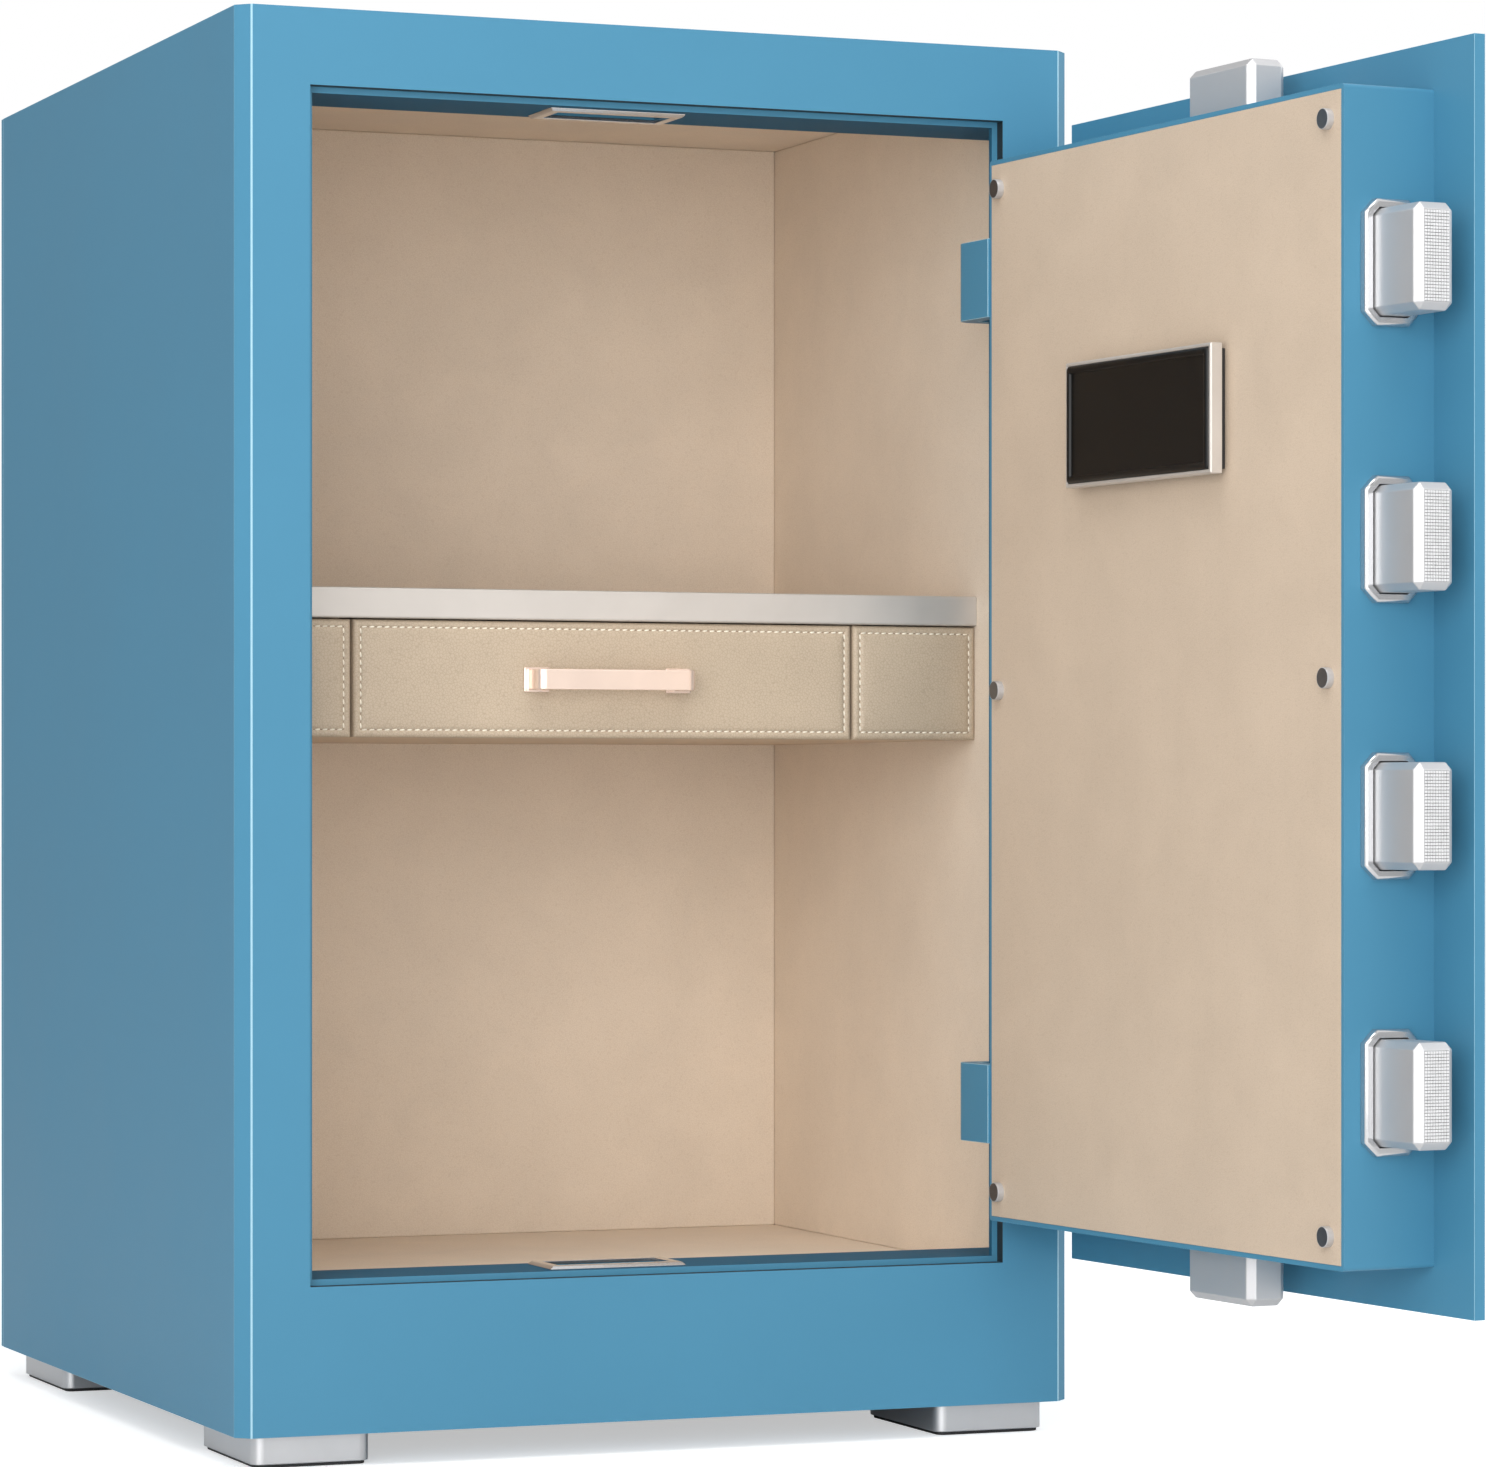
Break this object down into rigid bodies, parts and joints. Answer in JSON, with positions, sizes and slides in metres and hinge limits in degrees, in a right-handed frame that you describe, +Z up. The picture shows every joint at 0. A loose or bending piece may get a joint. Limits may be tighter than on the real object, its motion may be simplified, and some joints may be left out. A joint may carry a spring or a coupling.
{
  "type": "home safe",
  "caption": "Free-standing steel home safe, door open, with multi-point bolts, beige lined interior, a shelf and a leather-fronted drawer.",
  "frame": {"origin": "centre of the body's underside, where the two floor anchor holes are centred; the feet reach 14 mm below it", "axes": "X to the right seen from the front, the door opening faces -Y, +Z up"},
  "size_m": [0.4516, 0.7374, 0.614],
  "materials": {
    "blue_paint": "satin powder coat, mid blue",
    "blue_paint_inner": "satin powder coat, mid blue, inside the door frame",
    "beige_lining": "smooth beige leatherette on board",
    "stitched_leather": "beige leather with light stitching",
    "champagne_metal": "champagne anodised, brushed",
    "rose_champagne": "polished rose champagne plate",
    "chrome_trim": "bright chrome plate",
    "satin_steel": "satin nickel-plated steel",
    "foot_chrome": "satin chrome",
    "foot_rubber": "black rubber",
    "zinc_steel": "zinc-plated steel",
    "raw_board": "light fire board",
    "shelf_board": "beige laminated board",
    "black_gloss": "black gloss plastic",
    "black_matt": "black matt plastic",
    "keypad_glass": "black touch panel",
    "cell_jacket": "dark cell jacket"
  },
  "bodies": {
    "cabinet": {"cabinet_shell": "blue_paint", "back_plate": "blue_paint", "front_frame": "blue_paint", "door_frame": "blue_paint_inner", "strike_plates": "chrome_trim", "back_filler_board": "raw_board", "floor_filler_board": "raw_board", "back_lining": "beige_lining", "ceiling_lining": "beige_lining", "floor_lining": "beige_lining", "side_linings": "beige_lining", "feet": "foot_chrome", "foot_pads": "foot_rubber", "foot_screws": "zinc_steel", "hinge_brackets": "blue_paint", "hinge_pins": "zinc_steel", "shelf_board": "shelf_board", "shelf_front_rail": "champagne_metal", "shelf_cleats": "beige_lining", "side_fascias": "stitched_leather", "drawer_bay_floor": "shelf_board", "drawer_bay_uprights": "shelf_board", "drawer_runners_fixed": "zinc_steel"},
    "drawer": {"drawer_front": "stitched_leather", "drawer_walls": "shelf_board", "drawer_bottom": "shelf_board", "drawer_handle": "rose_champagne", "drawer_runners_moving": "zinc_steel"},
    "side_bolt_carriage": {"side_bolts": "satin_steel", "bolt_carriage": "zinc_steel"},
    "top_bolt_slide": {"top_bolt": "satin_steel", "top_bolt_bar": "zinc_steel"},
    "bottom_bolt_slide": {"bottom_bolt": "satin_steel", "bottom_bolt_bar": "zinc_steel"},
    "handle": {"handle_bar": "satin_steel", "handle_spindle": "zinc_steel", "cam_plate": "zinc_steel"},
    "key_plug_turn": {"key_plug": "zinc_steel"},
    "keyhole_cover_swing": {"keyhole_cover": "satin_steel"},
    "blocking_pin_slide": {"blocking_pin": "zinc_steel"},
    "door": {"door_plate": "blue_paint", "door_casing": "blue_paint", "door_lining": "beige_lining", "lining_screws": "satin_steel", "bolt_surrounds": "chrome_trim", "bolt_guides": "zinc_steel", "hard_plate": "zinc_steel", "lock_motor": "black_matt", "battery_box_base": "black_matt", "battery_box_band": "champagne_metal", "battery_box_cover": "black_gloss", "battery_tray": "black_matt", "battery_cells": "cell_jacket", "hinge_arms": "blue_paint", "handle_rose": "satin_steel", "keypad_housing": "black_gloss", "keypad_glass": "keypad_glass", "key_lock_body": "satin_steel", "keyhole_cover_pin": "zinc_steel"}
  },
  "joints": [
    {"name": "door_hinge", "type": "hinge", "parent": "cabinet", "child": "door", "pos_m": [0.178, -0.19, 0.315], "axis": [0, 0, 1], "range_deg": [-94.5, 0]},
    {"name": "drawer_slide", "type": "slide", "parent": "cabinet", "child": "drawer", "axis": [0, -1, 0], "range_m": [0, 0.15]},
    {"name": "handle_turn", "type": "hinge", "parent": "door", "child": "handle", "pos_m": [0.22727, -0.38273, 0.315], "axis": [-0.9969, -0.0785, 0], "range_deg": [0, 60]},
    {"name": "side_bolt_throw", "type": "slide", "parent": "door", "child": "side_bolt_carriage", "axis": [-0.0785, 0.9969, 0], "range_m": [0, 0.0242]},
    {"name": "top_bolt_throw", "type": "slide", "parent": "door", "child": "top_bolt_slide", "axis": [0, 0, -1], "range_m": [0, 0.0242]},
    {"name": "bottom_bolt_throw", "type": "slide", "parent": "door", "child": "bottom_bolt_slide", "axis": [0, 0, 1], "range_m": [0, 0.0242]},
    {"name": "key_turn", "type": "hinge", "parent": "door", "child": "key_plug_turn", "pos_m": [0.20733, -0.3843, 0.22], "axis": [-0.9969, -0.0785, 0], "range_deg": [0, 90]},
    {"name": "keyhole_cover_pivot", "type": "hinge", "parent": "door", "child": "keyhole_cover_swing", "pos_m": [0.20733, -0.3843, 0.245], "axis": [-0.9969, -0.0785, 0], "range_deg": [0, 100]},
    {"name": "blocking_pin_travel", "type": "slide", "parent": "door", "child": "blocking_pin_slide", "axis": [0, 0, -1], "range_m": [-0.007, 0]}
  ],
  "couplings": [
    {"joint": "side_bolt_throw", "follows": "handle_turn", "m_per_rad": 0.022918},
    {"joint": "top_bolt_throw", "follows": "handle_turn", "m_per_rad": 0.022918},
    {"joint": "bottom_bolt_throw", "follows": "handle_turn", "m_per_rad": 0.022918}
  ]
}
